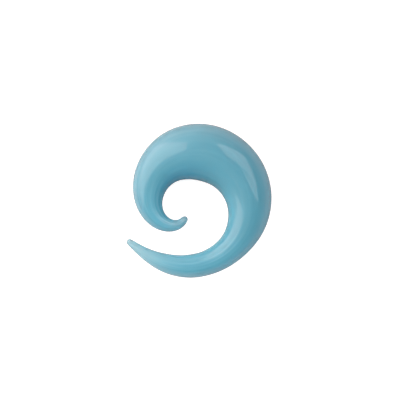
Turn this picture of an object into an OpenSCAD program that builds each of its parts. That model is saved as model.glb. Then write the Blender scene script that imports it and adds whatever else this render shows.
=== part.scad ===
// Spiral ear taper: one solid rod of opaque glass, thick in the middle and thin at both ends,
// bent into a flat spiral. It lies on its side, leaning the way that it comes to rest.
// The rod is described along its length: how tightly it curls and how thick it is at each place.

/* [Rod] */
// Thickness of the crown, where the stretched lobe sits
crown_d = 12; // [9:0.5:13]
// Length of the middle line, from the end of the inner tip to the end of the tail
rod_l = 79; // [72:1:90]

/* [Ends] */
// Width of the rounded end inside the curl
inner_tip_d = 1.2; // [0.8:0.1:1.8]
// Width of the rounded end of the tail, which goes into the ear first
tail_tip_d = 1.2; // [0.8:0.1:1.8]

/* [Mesh] */
// Faces around the rod
sides = 40; // [24:4:44]
// Rings along the rod between its rounded ends
body_rings = 112; // [80:4:120]
// Rings in each rounded end
end_rings = 6; // [4:1:6]

/* [Hidden] */

// Direction of the middle line at the inner tip, anticlockwise from +X
start_heading = -105;

// The rod's sections. ALONG is the place on the middle line in mm from the inner tip, BEND is
// the bend radius there in mm, and FULL is the thickness there as a share of the crown's.
ALONG = 0;
BEND = 1;
FULL = 2;
SECTIONS = [
    [ 0.0,  2.3, inner_tip_d / crown_d], // inner tip
    [ 2.0,  2.8, 0.160],
    [ 4.5,  4.1, 0.240],
    [ 9.0,  6.4, 0.400],                 // inner curl
    [13.0,  8.5, 0.550],
    [18.0,  9.2, 0.730],
    [24.0, 10.0, 0.925],
    [30.0, 11.3, 1.000],                 // crown
    [36.0, 11.4, 0.950],
    [42.0, 11.2, 0.840],
    [48.0, 12.0, 0.690],
    [54.0, 13.2, 0.525],
    [60.0, 13.3, 0.440],                 // lower sweep
    [65.0, 13.7, 0.400],
    [70.0, 16.0, 0.320],
    [75.0, 25.0, 0.190],
    [79.0, 60.0, tail_tip_d / crown_d],  // tail
];
last_row = len(SECTIONS) - 1;
// Bends and places of the table grow with the rod's length
stretch = rod_l / SECTIONS[last_row][ALONG];
// The same table with the bend as a curl, in degrees that the rod turns through in each mm
CURLS = [for (row = SECTIONS) [row[ALONG], 180 / PI / row[BEND], row[FULL]]];

// The last row of the table that lies at or before a place on it
function row_before(place, i = 0) =
    i >= last_row - 1 || CURLS[i + 1][ALONG] > place ? i : row_before(place, i + 1);

// How fast a column changes at a row, weighing the nearer neighbour more
function slope(i, column) =
    let (back = i > 0 ? CURLS[i] - CURLS[i - 1] : CURLS[1] - CURLS[0],
         ahead = i < last_row ? CURLS[i + 1] - CURLS[i] : back,
         rate_back = back[column] / back[ALONG],
         rate_ahead = ahead[column] / ahead[ALONG])
    i == 0 || i == last_row
        ? rate_back
        : (rate_back * ahead[ALONG] + rate_ahead * back[ALONG]) / (back[ALONG] + ahead[ALONG]);

// A column's value at a place on the table, on a smooth curve through its rows
function column_at(place, column) =
    let (i = row_before(place),
         from = CURLS[i],
         to = CURLS[i + 1],
         span = to[ALONG] - from[ALONG],
         t = (place - from[ALONG]) / span)
    from[column] * (1 + 2 * t) * pow(1 - t, 2)
        + slope(i, column) * span * t * pow(1 - t, 2)
        + to[column] * (3 - 2 * t) * pow(t, 2)
        + slope(i + 1, column) * span * (t - 1) * pow(t, 2);

// Degrees that the rod turns through in each mm, and its radius, at a distance from the inner tip
function curl_at(along) = column_at(along / stretch, BEND) / stretch;
function radius_at(along) =
    crown_d / 2 * column_at(along / stretch, FULL)
        * round_end(along, inner_tip_d / 2)
        * round_end(rod_l - along, tail_tip_d / 2);

// Share of the full radius that a half-round end leaves, near the end and 1 past it
function round_end(from_end, end_r) =
    from_end >= end_r ? 1 : sqrt(1 - pow(1 - max(0, from_end) / end_r, 2));

// Where the rings stand along the rod: closer together in the rounded ends
function end_places(end_r) = [for (i = [1 : end_rings]) end_r * (1 - cos(90 * i / end_rings))];
inner_places = end_places(inner_tip_d / 2);
tail_places = end_places(tail_tip_d / 2);
body_l = rod_l - (inner_tip_d + tail_tip_d) / 2;
places = concat(
    [0],
    inner_places,
    [for (i = [1 : body_rings]) inner_tip_d / 2 + body_l * i / (body_rings + 1)],
    [for (i = [end_rings - 1 : -1 : 0]) rod_l - tail_places[i]],
    [rod_l]
);
last_place = len(places) - 1;

// The bent middle line, found by walking along the rod: a POINT and a HEADING for each ring
POINT = 0;
HEADING = 1;
middle = [
    for (i = 0, point = [0, 0, 0], heading = start_heading;
         i <= last_place;
         step = places[min(i + 1, last_place)] - places[i],
         turn = curl_at(places[i] + step / 2) * step,
         point = point + step * [cos(heading - turn / 2), sin(heading - turn / 2), 0],
         heading = heading - turn,
         i = i + 1)
    [point, heading]
];
radii = [for (place = places) radius_at(place)];

// One ring of points square to the middle line. The two end rings are single points.
function ring(i) =
    let (heading = middle[i][HEADING], outward = [-sin(heading), cos(heading), 0])
    [for (side = [0 : sides - 1])
        let (angle = 360 * side / sides)
        middle[i][POINT] + radii[i] * (cos(angle) * outward + [0, 0, sin(angle)])];
flat_points = concat(
    [middle[0][POINT]],
    [for (i = [1 : last_place - 1]) each ring(i)],
    [middle[last_place][POINT]]
);

// Triangles of the skin, wound clockwise as seen from outside
tail_point = len(flat_points) - 1;
function ring_point(ring, side) = 1 + ring * sides + side % sides;
faces = concat(
    [for (side = [0 : sides - 1]) [0, ring_point(0, side), ring_point(0, side + 1)]],
    [for (ring = [0 : last_place - 3], side = [0 : sides - 1], half = [0, 1])
        half == 0
            ? [ring_point(ring, side + 1), ring_point(ring, side), ring_point(ring + 1, side)]
            : [ring_point(ring + 1, side + 1), ring_point(ring, side + 1), ring_point(ring + 1, side)]],
    [for (side = [0 : sides - 1])
        [ring_point(last_place - 2, side + 1), ring_point(last_place - 2, side), tail_point]]
);

// The balance point, from the tetrahedra that the skin's triangles make with the origin
wedges = [for (f = faces) cross(flat_points[f[0]], flat_points[f[1]]) * flat_points[f[2]]];
wedge_sums = [for (f = faces) flat_points[f[0]] + flat_points[f[1]] + flat_points[f[2]]];
ones = [for (f = faces) 1];
balance = wedges * wedge_sums / (4 * wedges * ones);

// The lean at rest. For a downward direction [x, y, -z] this is how high the balance point
// stands over a floor square to it, and the spiral comes to rest where that is least.
function stand_height(x, y) =
    max([for (i = [0 : last_place])
        [x, y, 0] * (middle[i][POINT] - balance) + radii[i]]);
most_lean = 0.5; // sine of the steepest lean that is tried
tries = 24;
function best_y(x, low = -most_lean, high = most_lean, left = tries) =
    let (a = (2 * low + high) / 3, b = (low + 2 * high) / 3)
    left == 0 ? (low + high) / 2
        : stand_height(x, a) < stand_height(x, b) ? best_y(x, low, b, left - 1)
        : best_y(x, a, high, left - 1);
function best_x(low = -most_lean, high = most_lean, left = tries) =
    let (a = (2 * low + high) / 3, b = (low + 2 * high) / 3)
    left == 0 ? (low + high) / 2
        : stand_height(a, best_y(a)) < stand_height(b, best_y(b)) ? best_x(low, b, left - 1)
        : best_x(a, high, left - 1);
down_x = best_x();
down_y = best_y(down_x);
lean = asin(norm([down_x, down_y]));
lean_axis = [-down_y, down_x, 0] / norm([down_x, down_y]);

// A point turned about the lean's axis, so that the spiral lies as it rests
function laid(p) =
    p * cos(lean) + cross(lean_axis, p) * sin(lean)
        + lean_axis * (lean_axis * p) * (1 - cos(lean));
laid_points = [for (p = flat_points) laid(p)];
low_corner = [for (k = [0 : 2]) min([for (p = laid_points) p[k]])];
high_corner = [for (k = [0 : 2]) max([for (p = laid_points) p[k]])];
// The origin is under the middle of the spiral, on the surface that it lies on
seat = [(low_corner.x + high_corner.x) / 2, (low_corner.y + high_corner.y) / 2, low_corner.z];

module glass_spiral() {
    color([0.43, 0.68, 0.76])
        polyhedron(points = [for (p = laid_points) p - seat], faces = faces);
}

glass_spiral();
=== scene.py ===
"""Looks of a spiral ear taper: one rod of opaque aqua glass, drawn thin at both ends and bent flat.

The rod's middle line and thickness are read from the frame. A Geometry Nodes tree sweeps a finer
rod along them, with the slight waves of glass that was shaped by hand, and the material gives it
the drawn streaks and the clouding of the real glass, with painted light that makes the thin ends and
the bend's outer side paler and painted shade that deepens the blue of the bend's inner side.
"""
import math

import bmesh
import bpy
import numpy as np
from mathutils import Matrix, Vector


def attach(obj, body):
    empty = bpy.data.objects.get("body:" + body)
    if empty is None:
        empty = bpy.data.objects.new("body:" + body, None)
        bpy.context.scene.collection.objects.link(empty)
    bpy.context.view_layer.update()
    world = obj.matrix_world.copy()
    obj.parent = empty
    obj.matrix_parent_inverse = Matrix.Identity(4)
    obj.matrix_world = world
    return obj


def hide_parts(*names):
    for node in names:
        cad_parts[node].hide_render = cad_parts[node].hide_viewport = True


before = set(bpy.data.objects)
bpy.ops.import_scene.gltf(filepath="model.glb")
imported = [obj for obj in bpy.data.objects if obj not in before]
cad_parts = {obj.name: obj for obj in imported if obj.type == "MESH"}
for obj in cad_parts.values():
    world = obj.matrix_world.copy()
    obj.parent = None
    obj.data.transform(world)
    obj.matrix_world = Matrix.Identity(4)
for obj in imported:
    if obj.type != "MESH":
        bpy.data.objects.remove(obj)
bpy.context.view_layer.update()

NODE = "glass_spiral"
MM = 0.001
WHITE = (1.0, 1.0, 1.0, 1.0)

# The swept rod: what its Geometry Nodes are given, each with its kind
WELD = 0.001 * MM                         # points nearer than this are one point
SWEEP = {
    "Sides": ("Int", 112),                # faces round the rod
    "Steps": ("Int", 3),                  # rings for each ring of the frame's own rod
    "Drawn From": ("Float", 6 * MM),      # radius of the glass before its ends were drawn thin
    "Wave Height": ("Float", 0.02 * MM),  # how far the hand-made waves stand out or in
    "Wave Length": ("Float", 6 * MM),     # from wave to wave along the rod
    "Wave Seed": ("Float", 4.0),
    "Weld": ("Float", WELD),
}

# Colours of the glass and of the light and shade painted on it, as red, green, blue and alpha
THICK_GLASS = (0.094, 0.310, 0.405, 1.0)
# Painted light: the slim glass is paler, for the light that shines through the thin glass
LIT_THROUGH_SLIM_GLASS = (0.110, 0.375, 0.490, 1.0)
# Painted reflection: the paler outer side of the bend
PAINTED_OUTER_SHEEN = (0.255, 0.480, 0.585, 1.0)
# Painted shade: the deeper blue inner side of the bend, inside the curl
PAINTED_INNER_SHADE = (0.076, 0.300, 0.430, 1.0)
# Painted light: the paler inner edge of the bend after the crown
PAINTED_EDGE_LIGHT = (0.150, 0.470, 0.615, 1.0)
MILKY = (0.210, 0.475, 0.580, 1.0)
DEEP = (0.068, 0.268, 0.380, 1.0)
# Paler and greyer, for the thin ends and the tail: the paleness is painted light that shines through
# the thin glass
ASHEN_LIT_THROUGH = (0.280, 0.475, 0.545, 1.0)

# Noises that lie in the glass: grains a metre across the rod and along it, how much detail they
# have, and how many grains they are shifted by
NOISES = {
    "broad": (420, 20, 2.0, 3.1),
    "fine": (1100, 45, 3.0, 8.7),
    "cloud": (150, 120, 2.0, 5.3),
}

# A ramp names a field and goes smoothly from 0 to 1 while the field goes from the second entry to
# the third. A fourth and a fifth entry take the place of 0 and 1. The fields are the noises and,
# in millimetres, the rod's radius, the place along the rod from its inner tip, and the place from
# the rod's middle towards the inner side of the bend.
STREAKED = ("radius", 4.5, 2.0, 0.06, 0.30)
LINED = ("radius", 4.5, 1.5, 0.08, 0.55)
OUTER_SIDE = ("inward", -3.0, -5.5)
BEFORE_CROWN = ("along", 32, 20, 0.05, 0.40)
PALE_LINE = ("fine", 0.50, 0.70)
DARK_LINE = ("fine", 0.50, 0.30)
ROUGHNESS = ("cloud", 0.3, 0.8, 0.010, 0.028)
UNEVENNESS = ("radius", 5.5, 2.5, 0.25, 1.00)  # the thick glass is the smoothest

# Coats of colour that lie over THICK_GLASS, the lowest first. A coat covers as much as the
# greatest of its shares, and a share is the product of its ramps.
COATS = (
    # Paler where the rod is slim: painted light, for the light that shines through the thin glass
    (LIT_THROUGH_SLIM_GLASS, [[("radius", 4.2, 1.6)]]),
    # Painted light and shade on the bend: its outer side is painted paler, a painted reflection of
    # the white surroundings at grazing angles, and its inner side a deeper blue from the curl to the
    # crown, painted shade inside the curl, then a paler edge after it, painted light on a rim that
    # gets little light
    (PAINTED_OUTER_SHEEN, [[("inward", -2.0, -6.0), ("radius", 6.0, 1.5, 0.45, 1.00)]]),
    (PAINTED_INNER_SHADE, [[("inward", 1.5, 5.5), ("radius", 2.5, 4.5, 0.10, 1.00), ("along", 36, 24)]]),
    (PAINTED_EDGE_LIGHT, [[("inward", 2.5, 6.0), ("along", 33, 48, 0.0, 0.75)]]),
    # Broad streaks show most where the rod is slim
    (MILKY, [[STREAKED, ("broad", 0.50, 0.70)]]),
    (DEEP, [[STREAKED, ("broad", 0.50, 0.30)]]),
    # Fine lines show there too, and on the outer side before the crown
    (MILKY, [[LINED, PALE_LINE], [OUTER_SIDE, BEFORE_CROWN, PALE_LINE]]),
    (DEEP, [[LINED, DARK_LINE], [OUTER_SIDE, BEFORE_CROWN, DARK_LINE]]),
    # Slow clouding
    (DEEP, [[("cloud", 0.40, 0.75, 0.0, 0.15)]]),
    # Paler and greyer at the thin ends, and along the tail most of all: the paleness is painted
    # light, for the light that shines through the thin glass
    (ASHEN_LIT_THROUGH, [[("radius", 1.9, 0.4, 0.0, 0.60)], [("along", 65, 79, 0.0, 0.75)]]),
)

# Ridges that follow the streaks: the noise, its strength and its height
RELIEF = (
    ("fine", 0.5, 0.006 * MM),
    ("broad", 0.6, 0.02 * MM),
)
GLASS_IOR = 1.52
SCATTER_LENGTH = 4.0 * MM         # how far light wanders through the glass
SCATTER_SHARES = (0.4, 0.9, 1.0)  # how much of that way red, green and blue go

# The photograph
PHOTO_SIDE_PX = 400
PHOTO_SIDE = 83.7 * MM            # real width of the view, at the middle of the rod
SPIRAL_CENTRE_PX = (198.8, 200.6)
PHOTO_ROLL = math.radians(0.45)   # turn of the camera against the frame's +Y
LENS = 200                        # focal length and sensor width, both in millimetres
SENSOR = 36

# The studio. Directions are right, up and towards the camera as seen from the spiral, and light
# is red, green and blue, where 1 is the light from white paper.
STUDIO_TIP = math.radians(18)     # the softboxes stand in a frame that is tipped back a little
# Two opposite corners in metres from the spiral, the light, and the degrees that the rectangle
# between the corners is then rolled about its middle. The left panel stands close by. The right
# one has a notch in its near edge and is narrower below it, so it is made of three.
SOFTBOXES = {
    "left panel": ((-0.088, 0.130, 0.358), (-0.116, -0.087, 0.025), 1.80, 6),
    "right softbox": ((0.184, 0.340, 0.606), (0.528, -0.068, 0.389), 1.95, 0),
    "right softbox at its notch": ((0.335, -0.068, 0.511), (0.535, -0.108, 0.384), 1.88, 0),
    "right softbox below its notch": ((0.248, -0.108, 0.566), (0.515, -0.275, 0.397), 1.80, 0),
}
SOFTBOX_TINT = (1.0, 0.95, 0.92)  # a little warm
# The room is dim but for two wide soft glows, each with its direction, its light and how fast it
# falls off to the sides: a warm wall on the left and daylight from below
ROOM_LIGHT = (0.15, 0.195, 0.245)
GLOWS = (
    ((-0.85, 0.45, 0.25), (1.57, 0.98, 0.77), 3.0),
    ((0.0, -1.0, 0.0), (0.22, 0.50, 0.53), 2.0),
)

FLOOR_SIZE = 3.0                  # metres
FLOOR_COLOUR = (0.50, 0.455, 0.435, 1.0)  # a warm white, which throws half of its light back
FLOOR_ROUGHNESS = 0.9
FLOOR_SHINE = 0.1
FLOOR_GLOW = 0.90                 # extra white for the camera alone, as on an overexposed sheet


def add_node(tree, kind, inputs=None, **settings):
    """A node with its settings made and its inputs set, each to a value or to an output."""
    node = tree.nodes.new(kind)
    for name, value in settings.items():
        setattr(node, name, value)
    for key, value in (inputs or {}).items():
        if isinstance(value, bpy.types.NodeSocket):
            tree.links.new(value, node.inputs[key])
        else:
            node.inputs[key].default_value = value
    return node


def math_node(tree, operation, *values):
    """The output of a Math node."""
    return add_node(tree, "ShaderNodeMath", dict(enumerate(values)), operation=operation).outputs[0]


def combine(tree, operation, values):
    """All the values combined by one operation, such as their product."""
    result = values[0]
    for value in values[1:]:
        result = math_node(tree, operation, result, value)
    return result


def capture(tree, geometry, **fields):
    """The geometry with named number fields captured on its points, and the captured fields."""
    node = add_node(tree, "GeometryNodeCaptureAttribute", {"Geometry": geometry})
    for name, field in fields.items():
        node.capture_items.new("FLOAT", name)
        tree.links.new(field, node.inputs[name])
    return node.outputs["Geometry"], node.outputs


def rod_rings(node):
    """Centre and radius of each ring of the frame's rod, from the inner tip to the tail.

    Each rounded end closes in one point, where as many edges meet as the rod has sides, and the
    rings are the points that lie one, two, three and more edges away from it.
    """
    solid = bmesh.new()
    solid.from_mesh(node.data)
    bmesh.ops.remove_doubles(solid, verts=solid.verts, dist=WELD)
    ends = sorted(solid.verts, key=lambda point: -len(point.link_edges))[:2]
    ring = {min(ends, key=lambda point: point.co.to_2d().length)}
    seen = set(ring)
    rings = []
    while ring:
        # A set has no fixed order, and sums in a fixed order come out the same in each run
        places = sorted((point.co.copy() for point in ring), key=tuple)
        centre = sum(places, Vector()) / len(places)
        radius = sum((place - centre).length for place in places) / len(places)
        rings.append((centre, radius))
        ring = {edge.other_vert(point) for point in ring for edge in point.link_edges} - seen
        seen |= ring
    solid.free()
    return rings


def rod_tree(settings):
    """Geometry Nodes tree that sweeps a rod along a line of points that have a ring_radius each."""
    tree = bpy.data.node_groups.new("swept rod", "GeometryNodeTree")
    tree.interface.new_socket("Line", in_out="INPUT", socket_type="NodeSocketGeometry")
    for name, (kind, value) in settings.items():
        tree.interface.new_socket(name, in_out="INPUT", socket_type="NodeSocket" + kind)
    tree.interface.new_socket("Rod", in_out="OUTPUT", socket_type="NodeSocketGeometry")
    given = add_node(tree, "NodeGroupInput").outputs

    # The line: a smooth curve through the ring centres, which keeps its radius and length
    line = add_node(tree, "GeometryNodeMeshToCurve", {"Mesh": given["Line"]})
    line = add_node(tree, "GeometryNodeCurveSplineType", {"Curve": line.outputs[0]},
                    spline_type="CATMULL_ROM")
    line = add_node(tree, "GeometryNodeSetSplineResolution",
                    {"Geometry": line.outputs[0], "Resolution": given["Steps"]})
    radius = add_node(tree, "GeometryNodeInputNamedAttribute", {"Name": "ring_radius"}).outputs[0]
    along = add_node(tree, "GeometryNodeSplineParameter").outputs["Length"]
    line, line_values = capture(tree, line.outputs[0], Radius=radius, Along=along)

    # The profile: a circle of radius 1, with the share of the way round
    circle = add_node(tree, "GeometryNodeCurvePrimitiveCircle",
                      {"Resolution": given["Sides"], "Radius": 1.0})
    share = add_node(tree, "GeometryNodeSplineParameter").outputs["Factor"]
    circle, circle_values = capture(tree, circle.outputs["Curve"], Around=share)

    rod = add_node(tree, "GeometryNodeCurveToMesh",
                   {"Curve": line, "Profile Curve": circle, "Scale": line_values["Radius"]})
    rod = add_node(tree, "GeometryNodeMergeByDistance",
                   {"Geometry": rod.outputs[0], "Distance": given["Weld"]})

    # Each point's place in the straight rod, before it was drawn thin and bent: what lies in the
    # glass keeps its place round the rod, so streaks close up towards the thin ends
    angle = math_node(tree, "MULTIPLY", circle_values["Around"], math.tau)
    across = [math_node(tree, "MULTIPLY", given["Drawn From"], math_node(tree, turn, angle))
              for turn in ("COSINE", "SINE")]
    place = add_node(tree, "ShaderNodeCombineXYZ",
                     {"X": across[0], "Y": across[1], "Z": line_values["Along"]}).outputs[0]
    rod = add_node(tree, "GeometryNodeStoreNamedAttribute",
                   {"Geometry": rod.outputs[0], "Name": "rod_place", "Value": place},
                   data_type="FLOAT_VECTOR", domain="POINT")
    rod = add_node(tree, "GeometryNodeStoreNamedAttribute",
                   {"Geometry": rod.outputs[0], "Name": "rod_radius", "Value": line_values["Radius"]},
                   data_type="FLOAT", domain="POINT")

    # Hand-made waves, in and out along the surface's normal
    waves = add_node(tree, "ShaderNodeTexNoise", {
        "Vector": place, "W": given["Wave Seed"], "Detail": 1.0,
        "Scale": math_node(tree, "DIVIDE", 1.0, given["Wave Length"]),
    }, noise_dimensions="4D")
    height = math_node(tree, "MULTIPLY", given["Wave Height"],
                       math_node(tree, "MULTIPLY_ADD", waves.outputs["Fac"], 2.0, -1.0))
    normal = add_node(tree, "GeometryNodeInputNormal").outputs[0]
    offset = add_node(tree, "ShaderNodeVectorMath", {0: normal, "Scale": height}, operation="SCALE")
    rod = add_node(tree, "GeometryNodeSetPosition",
                   {"Geometry": rod.outputs[0], "Offset": offset.outputs[0]})

    rod = add_node(tree, "GeometryNodeSetShadeSmooth", {"Geometry": rod.outputs[0]})
    rod = add_node(tree, "GeometryNodeRealizeInstances", {"Geometry": rod.outputs[0]})
    rod = add_node(tree, "GeometryNodeSetMaterial",
                   {"Geometry": rod.outputs[0], "Material": given["Glass"]})
    add_node(tree, "NodeGroupOutput", {"Rod": rod.outputs[0]})
    return tree


def swept_rod(rings, glass):
    """The glass rod as a plain mesh object, swept along the frame's rings."""
    line = bpy.data.meshes.new("middle line")
    line.from_pydata([centre for centre, radius in rings],
                     [(i, i + 1) for i in range(len(rings) - 1)], [])
    radii = line.attributes.new("ring_radius", "FLOAT", "POINT")
    radii.data.foreach_set("value", [radius for centre, radius in rings])

    maker = bpy.data.objects.new("rod maker", line)
    bpy.context.scene.collection.objects.link(maker)
    settings = {**SWEEP, "Glass": ("Material", glass)}
    modifier = maker.modifiers.new("sweep", "NODES")
    modifier.node_group = rod_tree(settings)
    for item in modifier.node_group.interface.items_tree:
        if item.item_type == "SOCKET" and item.name in settings:
            modifier[item.identifier] = settings[item.name][1]

    depsgraph = bpy.context.evaluated_depsgraph_get()
    mesh = bpy.data.meshes.new_from_object(maker.evaluated_get(depsgraph), depsgraph=depsgraph)
    mesh.name = "glass rod"
    bpy.data.objects.remove(maker)
    rod = bpy.data.objects.new("glass_rod", mesh)
    bpy.context.scene.collection.objects.link(rod)
    return rod


def glass_fields(tree):
    """What the ramps run on: each field's output by its name, and the unit of the ramps' numbers."""
    place = add_node(tree, "ShaderNodeAttribute", attribute_name="rod_place").outputs["Vector"]
    radius = add_node(tree, "ShaderNodeAttribute", attribute_name="rod_radius").outputs["Fac"]
    parts = add_node(tree, "ShaderNodeSeparateXYZ", {0: place}).outputs
    fields = {"radius": (radius, MM), "inward": (parts["X"], MM), "along": (parts["Z"], MM)}
    for name, (across, along, detail, shift) in NOISES.items():
        moved = add_node(tree, "ShaderNodeMapping", {
            "Vector": place, "Scale": (across, across, along), "Location": (shift, shift, shift),
        }).outputs[0]
        noise = add_node(tree, "ShaderNodeTexNoise",
                         {"Vector": moved, "Scale": 1.0, "Detail": detail}).outputs["Fac"]
        fields[name] = (noise, 1)
    return fields


def ramp(tree, fields, name, start, end, low=0.0, high=1.0):
    """A smooth change from low to high while the named field goes from start to end."""
    field, unit = fields[name]
    return add_node(tree, "ShaderNodeMapRange", {
        "Value": field, "From Min": start * unit, "From Max": end * unit,
        "To Min": low, "To Max": high,
    }, interpolation_type="SMOOTHSTEP").outputs[0]


def coverage(tree, fields, shares):
    """The greatest of the shares, each of which is the product of its ramps."""
    products = []
    for ramps in shares:
        values = [ramp(tree, fields, *entries) for entries in ramps]
        products.append(combine(tree, "MULTIPLY", values))
    return combine(tree, "MAXIMUM", products)


def blend_colours(tree, factor, first, second):
    """first where factor is 0 and second where it is 1."""
    return add_node(tree, "ShaderNodeMix", {0: factor, 6: first, 7: second},
                    data_type="RGBA").outputs[2]


def aqua_glass():
    """Opaque aqua glass: drawn streaks, slow clouding, a fire-polished gloss, and painted light and
    shade on the thin ends and the bend.
    """
    material = bpy.data.materials.new("opaque aqua glass")
    material.use_nodes = True
    tree = material.node_tree
    shader = tree.nodes["Principled BSDF"]
    fields = glass_fields(tree)

    colour = THICK_GLASS
    for coat, shares in COATS:
        colour = blend_colours(tree, coverage(tree, fields, shares), colour, coat)
    tree.links.new(colour, shader.inputs["Base Color"])
    tree.links.new(ramp(tree, fields, *ROUGHNESS), shader.inputs["Roughness"])

    # Each layer of ridges lies on the one before it
    uneven = ramp(tree, fields, *UNEVENNESS)
    surface = {}
    for name, strength, height in RELIEF:
        ridges = add_node(tree, "ShaderNodeBump", {
            "Height": math_node(tree, "MULTIPLY", fields[name][0], uneven),
            "Strength": strength, "Distance": height, **surface,
        })
        surface = {"Normal": ridges.outputs[0]}
    tree.links.new(surface["Normal"], shader.inputs["Normal"])

    shader.inputs["IOR"].default_value = GLASS_IOR
    shader.subsurface_method = "BURLEY"
    shader.inputs["Subsurface Weight"].default_value = 1.0
    shader.inputs["Subsurface Radius"].default_value = SCATTER_SHARES
    shader.inputs["Subsurface Scale"].default_value = SCATTER_LENGTH
    return material


def pale_floor():
    """A wide white floor under the spiral."""
    mesh = bpy.data.meshes.new("floor")
    half = FLOOR_SIZE / 2
    mesh.from_pydata([(-half, -half, 0), (half, -half, 0), (half, half, 0), (-half, half, 0)],
                     [], [(0, 1, 2, 3)])
    material = bpy.data.materials.new("white paper")
    material.use_nodes = True
    tree = material.node_tree
    shader = tree.nodes["Principled BSDF"]
    shader.inputs["Base Color"].default_value = FLOOR_COLOUR
    shader.inputs["Roughness"].default_value = FLOOR_ROUGHNESS
    shader.inputs["Specular IOR Level"].default_value = FLOOR_SHINE
    # The glow is for the camera alone, so that it neither lights the glass nor shows in it
    seen = add_node(tree, "ShaderNodeLightPath").outputs["Is Camera Ray"]
    shader.inputs["Emission Color"].default_value = WHITE
    tree.links.new(math_node(tree, "MULTIPLY", seen, FLOOR_GLOW), shader.inputs["Emission Strength"])
    mesh.materials.append(material)
    floor = bpy.data.objects.new("floor", mesh)
    bpy.context.scene.collection.objects.link(floor)


def softbox(name, directions, centre, inner, outer, light, roll):
    """A rectangular light between two opposite corners, given in the studio's directions."""
    inner, outer = Vector(inner), Vector(outer)
    slope = Vector((outer.x - inner.x, 0, outer.z - inner.z))
    length, width = slope.length, abs(outer.y - inner.y)
    middle = (inner + outer) / 2
    upright = Vector((0, 1, 0))
    # A light shines along its own -Z, so its Z points away from the spiral
    across = slope.normalized()
    away = across.cross(upright)
    if away.dot(middle) < 0:
        across, away = -across, -away
    data = bpy.data.lights.new(name, "AREA")
    data.shape = "RECTANGLE"
    data.size = length
    data.size_y = width
    data.energy = light * math.pi * length * width
    data.color = SOFTBOX_TINT
    lamp = bpy.data.objects.new(name, data)
    lamp.visible_camera = False
    turned = directions @ Matrix((across, upright, away)).transposed()
    turned = turned @ Matrix.Rotation(math.radians(roll), 3, "Z")
    lamp.matrix_world = Matrix.Translation(centre + directions @ middle) @ turned.to_4x4()
    bpy.context.scene.collection.objects.link(lamp)


def studio_light(directions, centre):
    """The softboxes over the spiral, and a dim room with a wide glow from the left and below."""
    studio = directions @ Matrix.Rotation(-STUDIO_TIP, 3, "X")
    for name, (inner, outer, light, roll) in SOFTBOXES.items():
        softbox(name, studio, centre, inner, outer, light, roll)

    world = bpy.data.worlds.new("dim room")
    world.use_nodes = True
    tree = world.node_tree
    towards = add_node(tree, "ShaderNodeTexCoord").outputs["Generated"]
    room = add_node(tree, "ShaderNodeCombineXYZ", dict(enumerate(ROOM_LIGHT))).outputs[0]
    for side, colour, fall in GLOWS:
        nearness = add_node(tree, "ShaderNodeVectorMath",
                            {0: towards, 1: directions @ Vector(side).normalized()},
                            operation="DOT_PRODUCT").outputs["Value"]
        share = math_node(tree, "POWER", math_node(tree, "MULTIPLY_ADD", nearness, 0.5, 0.5), fall)
        glow = add_node(tree, "ShaderNodeVectorMath", {0: colour, "Scale": share}, operation="SCALE")
        room = add_node(tree, "ShaderNodeVectorMath", {0: room, 1: glow.outputs[0]},
                        operation="ADD").outputs[0]
    # What a view from the side sees past the floor is as white as the floor
    seen = add_node(tree, "ShaderNodeLightPath").outputs["Is Camera Ray"]
    room = blend_colours(tree, seen, room, WHITE)
    tree.links.new(room, tree.nodes["Background"].inputs["Color"])
    bpy.context.scene.world = world


def spiral_axis(rings):
    """Direction square to the plane in which the rod is bent, on its upper side."""
    centres = np.array([centre for centre, radius in rings])
    axis = Vector(np.linalg.svd(centres - centres.mean(axis=0))[2][2])
    return axis if axis.z > 0 else -axis


def photo_directions(axis):
    """A matrix whose columns are the camera's right, its up and the direction towards it."""
    up = (Vector((0, 1, 0)) - axis * axis.y).normalized()
    level = Matrix((up.cross(axis), up, axis)).transposed()
    return level @ Matrix.Rotation(PHOTO_ROLL, 3, "Z")


def photo_camera(rings, directions):
    """A camera square to the spiral, with the photograph's framing. Returns the spiral's centre."""
    inside = directions.transposed()
    rings = [(inside @ centre, radius) for centre, radius in rings]
    low = [min(centre[side] - radius for centre, radius in rings) for side in range(2)]
    high = [max(centre[side] + radius for centre, radius in rings) for side in range(2)]
    depth = rings[0][0].z
    middle = Vector(((low[0] + high[0]) / 2, (low[1] + high[1]) / 2, depth))
    scale = PHOTO_SIDE / PHOTO_SIDE_PX
    aim = middle - Vector((SPIRAL_CENTRE_PX[0] - PHOTO_SIDE_PX / 2,
                           PHOTO_SIDE_PX / 2 - SPIRAL_CENTRE_PX[1], 0)) * scale
    data = bpy.data.cameras.new("camera")
    data.lens = LENS
    data.sensor_width = SENSOR
    away = PHOTO_SIDE * LENS / SENSOR
    camera = bpy.data.objects.new("camera", data)
    place = directions @ (aim + Vector((0, 0, away)))
    camera.matrix_world = Matrix.Translation(place) @ directions.to_4x4()
    bpy.context.scene.collection.objects.link(camera)
    bpy.context.scene.camera = camera
    return directions @ middle


rings = rod_rings(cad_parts[NODE])
directions = photo_directions(spiral_axis(rings))
spiral_centre = photo_camera(rings, directions)

rod = swept_rod(rings, aqua_glass())
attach(rod, "root")
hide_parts(NODE)

pale_floor()
studio_light(directions, spiral_centre)
bpy.context.scene.view_settings.view_transform = "Standard"
